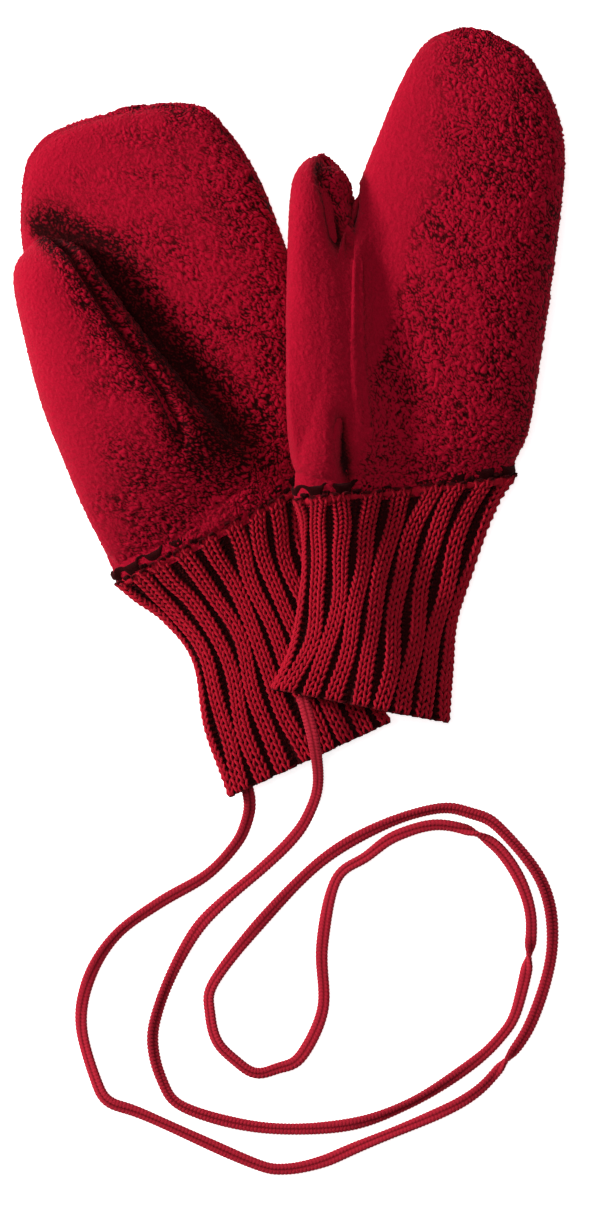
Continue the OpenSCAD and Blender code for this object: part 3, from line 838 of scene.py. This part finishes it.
def rib_yarn(points, normals, length):
    """Rows of loops on a cuff's skin, and how much painted shade each point has.

    Along a row the yarn swings twice a stitch, rises and falls once, and comes forward twice."""
    rows, cols = points.shape[:2]
    courses = int(length / ROW)
    t = np.arange(REPEATS * WALES * STITCH_PTS) / STITCH_PTS
    stitch = np.floor(t)
    purl = purl_share(t % WALES)
    face = 1.0 - 2.0 * purl
    place = t + SWING * np.sin(4 * math.pi * t)
    repeat = np.floor(place / WALES)
    within = place - repeat * WALES
    q = np.where(within < 2, within / 2 * KNIT_SHARE, KNIT_SHARE + (within - 2) / 2 * (1 - KNIT_SHARE))
    course = np.arange(courses)[:, None]
    spread = ramp(course / (courses - 1), SPREAD_FROM, SPREAD_LONG)
    rise = RISE * ROW * -np.cos(2 * math.pi * t)
    wobble = uneven(course, stitch, 0.12, 1.7, 0.9, 0.10, 0.6, 2.3)
    scallop = SCALLOP * rib_profile(q, 0.0) * (1.0 - smooth(course / SCALLOP_ROWS))
    row = (course * ROW + ROW * 0.6 + SCALLOP + rise + wobble - scallop) / length * (rows - 1)
    col = (repeat + q + uneven(course, repeat, 0.09, 0.21, 1.3, 0.05, 0.47, 2.9)) / REPEATS * cols
    profile = rib_profile(q, spread)
    valley = RIB_DEEP * (1.0 - profile) * (1.0 - SPREAD_OPEN * spread)
    ridge = -RIB_IN - valley + 0.3 * np.sin(course * 0.33 + repeat * 2.1)
    lean_out = FORWARD * -np.cos(4 * math.pi * t) * face
    lines = on_skin(points, normals, row + 0 * col, col + 0 * row, lean_out + ridge)
    leg = 0.5 - 0.5 * np.cos(4 * math.pi * t) * face
    # Painted shade: darker in the purl valleys and where the yarn runs behind a stitch
    sunk = np.clip(0.85 * (1.0 - profile) + 0.95 * (1.0 - leg), 0.0, 1.0)
    return lines, np.broadcast_to(sunk, lines.shape[:2])


def rib_backing(points, normals):
    """A closed sleeve behind the yarn: the rib's own profile outside, a shallower one inside."""
    rows, cols = points.shape[:2]
    q = (np.arange(cols) / cols * REPEATS) % 1.0
    r = np.linspace(0, 1, rows)[:, None]
    profile = rib_profile(q, ramp(r, SPREAD_FROM, SPREAD_LONG))
    sink = -RIB_IN - RIB_DEEP * (1.0 - profile) - BACKING_END * ramp(r, TOP_FROM, TOP_LONG)
    outer = points + normals * (sink - BACKING_BEHIND)[..., None]
    inner = points + normals * (sink * BACKING_SHARE - BACKING_T)[..., None]
    sleeve = np.concatenate([outer, inner[::-1], outer[:1]])
    sleeve[..., 2] = np.maximum(sleeve[..., 2], BACKING_LOW)
    return sleeve


def rib_cuff(mitten, stations, body, node):
    """A cuff in 2 by 2 rib: two pieces of yarn, the lower rows and the upper, over a backing."""
    points, _ = limb_grid(mitten, mitten["cuff_lean"], stations, 1.0)
    normals = grid_normals(points)
    cols = points.shape[1]
    length = np.linalg.norm(np.diff(points[:, cols // 4], axis=0), axis=1).sum()
    lines, sunk = rib_yarn(points, normals, length)
    half = len(lines) // 2
    for part, (low, high) in enumerate(((0, half), (half, len(lines))), start=1):
        p, quads = yarn_tubes(lines[low:high], YARN_R, YARN_SIDES, True)
        obj = make_piece(f"{node}_yarn_{part}", p, quads, body, node, slot="rib_knit")
        add_attribute(obj, "pit", np.repeat(sunk[low:high].reshape(-1), YARN_SIDES))
    sleeve = rib_backing(points, normals)
    quads = grid_quads(len(sleeve), cols, True)
    obj = make_piece(node + "_backing", sleeve.reshape(-1, 3), quads, body, node, slot="rib_knit")
    # The backing is painted in full shade, as it shows only in the shade behind the yarn
    add_attribute(obj, "pit", np.ones(sleeve.shape[:2]))
    print(node, "has", len(lines), "rows of", REPEATS * WALES, "stitches")


rib_cuff(LEFT, LEFT_CUFF, "left_mitten", "left_rib_cuff")
rib_cuff(RIGHT, RIGHT_CUFF, "right_mitten", "right_rib_cuff")

# %% [markdown]
# ## Seams
#
# A sewn seam pulls the cloth in, so its yarn is seen only as a dark stitch line at the bottom of a
# groove, and that yarn gets painted shade. Each seam is found as the line where the seam's surface
# crosses the skin, and a thin yarn with a bulge for each stitch lies a little below it. Where wool
# meets rib there is a soft roll of yarn instead, just inside the edge, with a little painted shade.
# Modelling each stitch as its own loop would not be seen.

# %% Side and thumb seams
SEAM_YARN = 0.6
SEAM_CELL = 0.8
SEAM_SINK = 3.4
SEAM_SHORT = 8
SEAM_SIDES = 8
STITCH_LONG, STITCH_BULGE = 2.4, 0.25
# Painted shade on the sewing yarn at the bottom of its groove
SEAM_SHADE = 0.85


def seam_line(mitten, stations, split):
    """Where a seam's surface meets a limb's skin: up one side from the open end and down the other."""
    points, _ = limb_grid(mitten, mitten["hand_lean"], stations, SEAM_CELL, square=ROUNDNESS)
    normals = grid_normals(points)
    across, along, up = own_measures(mitten, mitten["hand_lean"], points)
    gap = up - seam_height(split, across, along)
    cross = gap * np.roll(gap, -1, axis=1) <= 0
    first = np.argmax(cross, axis=1)
    last = cross.shape[1] - 1 - np.argmax(cross[:, ::-1], axis=1)
    keep = np.flatnonzero(cross.any(axis=1))[:-SEAM_SHORT]
    one = points[keep, first[keep]] - normals[keep, first[keep]] * SEAM_SINK
    two = points[keep, last[keep]] - normals[keep, last[keep]] * SEAM_SINK
    return np.concatenate([one, two[::-1]])


def seam_piece(node, line, body):
    """A seam's sewing yarn: a tube whose radius swells as a sine, once for each stitch."""
    length = np.linalg.norm(np.diff(line, axis=0), axis=1).sum()
    line = evenly(line, int(length / SEAM_CELL))
    beat = np.arange(len(line)) * SEAM_CELL / STITCH_LONG * 2 * math.pi
    radius = SEAM_YARN * (1.0 + STITCH_BULGE * np.sin(beat))
    points, quads = yarn_tubes(line[None], radius[None], SEAM_SIDES, False)
    obj = make_piece(node + "_stitching", points, quads, body, node, slot="seam")
    add_attribute(obj, "pit", np.full(len(points), SEAM_SHADE))
    print(node, "is", round(length), "mm long")
    return obj


seam_piece("left_side_seam", seam_line(LEFT, LEFT_HAND, LEFT_SPLIT), "left_mitten")
seam_piece("right_side_seam", seam_line(RIGHT, RIGHT_HAND, RIGHT_SPLIT), "right_mitten")
left_thumb.append(seam_piece("left_thumb_seam", seam_line(LEFT, LEFT_THUMB, LEFT_THUMB_SPLIT), None))
right_thumb.append(seam_piece("right_thumb_seam", seam_line(RIGHT, RIGHT_THUMB, RIGHT_SPLIT), None))

# %% Cuff seams
ROLL_IN = 2.6
ROLL_R, ROLL_PUCKER, ROLL_WAVE = 1.3, 0.2, 0.1
ROLL_SIDES = 10
# A little painted shade on the roll, which lies under the wool's edge
ROLL_SHADE = 0.15


def cuff_seam(node, mitten, stations, body):
    """The round where wool is sewn to rib: a soft roll of yarn that swells and rises once for each wale."""
    inner = [[s, left - ROLL_IN, right - ROLL_IN, low + ROLL_IN, top - ROLL_IN]
             for s, left, right, low, top in stations[-2:]]
    ring = limb_grid(mitten, mitten["cuff_lean"], inner, 1.0)[0][-1]
    beat = np.arange(len(ring)) / len(ring) * REPEATS * WALES * 2 * math.pi
    line = ring + np.array([0.0, 0.0, ROLL_WAVE]) * np.sin(beat)[:, None]
    points, quads = yarn_tubes(line[None], (ROLL_R + ROLL_PUCKER * np.sin(beat))[None], ROLL_SIDES, True)
    obj = make_piece(node + "_roll", points, quads, body, node, slot="seam")
    add_attribute(obj, "pit", np.full(len(points), ROLL_SHADE))


cuff_seam("left_cuff_seam", LEFT, LEFT_CUFF, "left_mitten")
cuff_seam("right_cuff_seam", RIGHT, RIGHT_CUFF, "right_mitten")

# %% [markdown]
# ## The thumb pieces
#
# A thumb is one cut of cloth with its hand, so it can't turn about a pin: the cloth bends over a
# couple of centimetres at its root. Here each thumb piece only has its place baked into its points.

# %% Thumb pieces get their place baked in
for side, thumb in (("left", left_thumb), ("right", right_thumb)):
    for piece in thumb:
        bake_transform(piece)
    print(len(thumb), "pieces bend at the", side, "thumb's root")

# %% [markdown]
# ## The tacks that hold the cord
#
# The cord's ends are sewn down inside the cuffs. Such a tack is a few rounds of yarn over one
# another, so it is a single strand wound as a coil that draws in at the top.

# %% Tacks
TACK_R, TACK_H = 2.1, 3.8
TACK_YARN, TACK_TURNS, TACK_POINTS, TACK_SIDES = 0.55, 6, 260, 8
TACK_LIFT, TACK_DRAWN = 0.6, 0.75
TACK_DARK = 0.3


def tack(node, place, body):
    """A cord's end sewn down: a helix, its radius the root of 1 minus a share of the height cubed."""
    t = np.linspace(0.0, 1.0, TACK_POINTS)
    turn = t * TACK_TURNS * 2 * math.pi
    r = TACK_R * np.sqrt(np.maximum(1.0 - TACK_DRAWN * t**3, 0.0))
    height = place[2] + TACK_LIFT + t * (TACK_H - 2 * TACK_LIFT)
    line = np.stack([place[0] + r * np.cos(turn), place[1] + r * np.sin(turn), height], axis=1)
    points, quads = yarn_tubes(line[None], TACK_YARN, TACK_SIDES, False)
    obj = make_piece(node + "_winding", points, quads, body, node, slot="tack_yarn")
    add_attribute(obj, "pit", np.full(len(points), TACK_DARK))


tack("left_cord_tack", LEFT_TACK, "left_mitten")
tack("right_cord_tack", RIGHT_TACK, "right_mitten")

# %% [markdown]
# ## Materials
#
# One dye bath colours all of it, but fleece, rib and cord take light differently. Every piece knows
# how deep each of its points lies, and one recipe turns that into painted shade: the dye's own red
# where the yarn stands in the light, a darker red on its way down, and nearly black in the pits,
# where light is lost between the fibres. Fine noise stands for single fibres, in the colour and in a
# small bump, and a weak reddish sheen stands for the fuzz. A plain red with a bump map would look
# like painted plaster, because wool's shadows are dark from within.

# %% Node helpers
class Value:
    """A material's number: the operators build the maths nodes."""

    def __init__(self, nodes, socket):
        self.nodes, self.socket = nodes, socket

    def _maths(self, operation, *others):
        node = self.nodes.tree.nodes.new("ShaderNodeMath")
        node.operation = operation
        for slot, value in zip(node.inputs, (self, *others)):
            self.nodes.plug(value, slot)
        return Value(self.nodes, node.outputs[0])

    def __add__(self, other):
        return self._maths("ADD", other)

    def __mul__(self, other):
        return self._maths("MULTIPLY", other)

    def __sub__(self, other):
        return self._maths("SUBTRACT", other)

    def __rsub__(self, other):
        return (self * -1.0) + other

    def __pow__(self, other):
        return self._maths("POWER", other)

    __radd__ = __add__
    __rmul__ = __mul__


class Nodes:
    """A material being built: make() adds any node with its settings and inputs."""

    def __init__(self, name):
        self.material = bpy.data.materials.new(name)
        self.material.use_nodes = True
        self.tree = self.material.node_tree
        self.shader = self.tree.nodes["Principled BSDF"]

    def plug(self, value, slot):
        if isinstance(value, Value):
            self.tree.links.new(value.socket, slot)
        else:
            slot.default_value = value

    def make(self, kind, output, settings=None, **inputs):
        node = self.tree.nodes.new(kind)
        for key, value in (settings or {}).items():
            setattr(node, key, value)
        for key, value in inputs.items():
            self.plug(value, node.inputs[int(key[1:]) if key[0] == "_" else key.replace("_", " ")])
        return Value(self, node.outputs[output])

    def set(self, **inputs):
        for key, value in inputs.items():
            self.plug(value, self.shader.inputs[key.replace("_", " ")])


print("the node helpers are ready")

# %% Yarn and wool
# Below this depth a point counts as lit, and past this one as lost in the dark
LIT_FROM, DARK_FROM = 0.1, 1.05
FIBRE_SHARE, PATCH_TINT = 0.5, 0.12
PATCH_SCALE = 55.0
DEEP_POWER = 3.0
FIBRE_BUMP = 0.0006
ROUGH, SHEEN_ROUGH, SPECULAR = 0.92, 0.45, 0.05
SHEEN_TINT = (1.0, 0.25, 0.3, 1.0)
# Inputs of a Mix node that are for colours, and its colour output
MIX_COLOURS = {"data_type": "RGBA"}
COLOUR_OUT = 2


def yarn_material(name, lit, mid, deep, fibre, bump, sheen):
    """Dyed yarn with painted shade: lit where it stands out, darker with depth, nearly black in the pits.

    The depth, with fibre and patch noise added, mixes lit to mid, and its cube mixes that to deep."""
    n = Nodes(name)
    place = n.make("ShaderNodeTexCoord", "Object")
    # The pit attribute carries each piece's painted shade
    pit = n.make("ShaderNodeAttribute", "Fac", {"attribute_name": "pit"})
    patch = n.make("ShaderNodeTexNoise", "Fac", None, Vector=place, Scale=PATCH_SCALE, Detail=3.0)
    fine = n.make("ShaderNodeTexNoise", "Fac", None, Vector=place, Scale=fibre, Detail=4.0, Roughness=0.7)
    depth = pit + (fine - 0.5) * FIBRE_SHARE + (patch - 0.5) * PATCH_TINT
    shade = n.make("ShaderNodeMapRange", "Result", {"interpolation_type": "SMOOTHSTEP"},
                   Value=depth, From_Min=LIT_FROM, From_Max=DARK_FROM)
    tone = n.make("ShaderNodeMix", COLOUR_OUT, MIX_COLOURS, _0=shade, _6=lit, _7=mid)
    tone = n.make("ShaderNodeMix", COLOUR_OUT, MIX_COLOURS, _0=shade ** DEEP_POWER, _6=tone, _7=deep)
    relief = n.make("ShaderNodeBump", 0, None, Strength=bump, Distance=FIBRE_BUMP, Height=fine)
    n.set(Base_Color=tone, Roughness=ROUGH, Normal=relief, Sheen_Weight=sheen, Sheen_Roughness=SHEEN_ROUGH,
          Sheen_Tint=SHEEN_TINT, Specular_IOR_Level=SPECULAR)
    return n.material


wool = yarn_material("crimson wool", lit=(0.38, 0.0030, 0.020, 1), mid=(0.20, 0.003, 0.010, 1),
                     deep=(0.012, 0.0006, 0.0008, 1), fibre=1400.0, bump=0.7, sheen=0.08)
rib = yarn_material("rib yarn", lit=(0.36, 0.006, 0.018, 1), mid=(0.10, 0.003, 0.006, 1),
                    deep=(0.015, 0.0008, 0.001, 1), fibre=2600.0, bump=0.5, sheen=0.06)
cord_wool = yarn_material("cord yarn", lit=(0.40, 0.016, 0.032, 1), mid=(0.22, 0.006, 0.014, 1),
                          deep=(0.06, 0.002, 0.004, 1), fibre=2600.0, bump=0.4, sheen=0.06)

# %% Give each piece its material
BY_SLOT = {"wool_fleece": wool, "seam": rib, "rib_knit": rib, "cord_knit": cord_wool, "tack_yarn": cord_wool}
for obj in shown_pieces():
    material = BY_SLOT.get(obj.get("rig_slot"), wool)
    obj.data.materials.clear()
    obj.data.materials.append(material)
    print(obj.name, "is made of", material.name)

# %% [markdown]
# ## The floor
#
# The pair lies on a pale sheet, lit so that it goes nearly white. A floor that also glows a little
# keeps that white without more light on the wool.

# %% The floor
FLOOR_HALF = 4.0
FLOOR_AT = -0.0002
FLOOR_GLOW = 0.85
FLOOR_TONES = ((0.93, 0.93, 0.93, 1), (0.96, 0.96, 0.96, 1))


def floor_material():
    """A pale floor that glows a little, so that it stays white under the lay."""
    n = Nodes("pale floor")
    place = n.make("ShaderNodeTexCoord", "Object")
    speck = n.make("ShaderNodeTexNoise", "Fac", None, Vector=place, Scale=40.0)
    tone = n.make("ShaderNodeMix", COLOUR_OUT, MIX_COLOURS, _0=speck, _6=FLOOR_TONES[0], _7=FLOOR_TONES[1])
    n.set(Base_Color=tone, Roughness=0.95, Emission_Color=tone, Emission_Strength=FLOOR_GLOW)
    return n.material


floor_mesh = bpy.data.meshes.new("floor")
corners = [(x * FLOOR_HALF, y * FLOOR_HALF, FLOOR_AT) for x, y in ((-1, -1), (1, -1), (1, 1), (-1, 1))]
floor_mesh.from_pydata(corners, [], [(0, 1, 2, 3)])
floor = bpy.data.objects.new("floor", floor_mesh)
floor.data.materials.append(floor_material())
bpy.context.scene.collection.objects.link(floor)
print("the floor is", 2 * FLOOR_HALF, "m square")
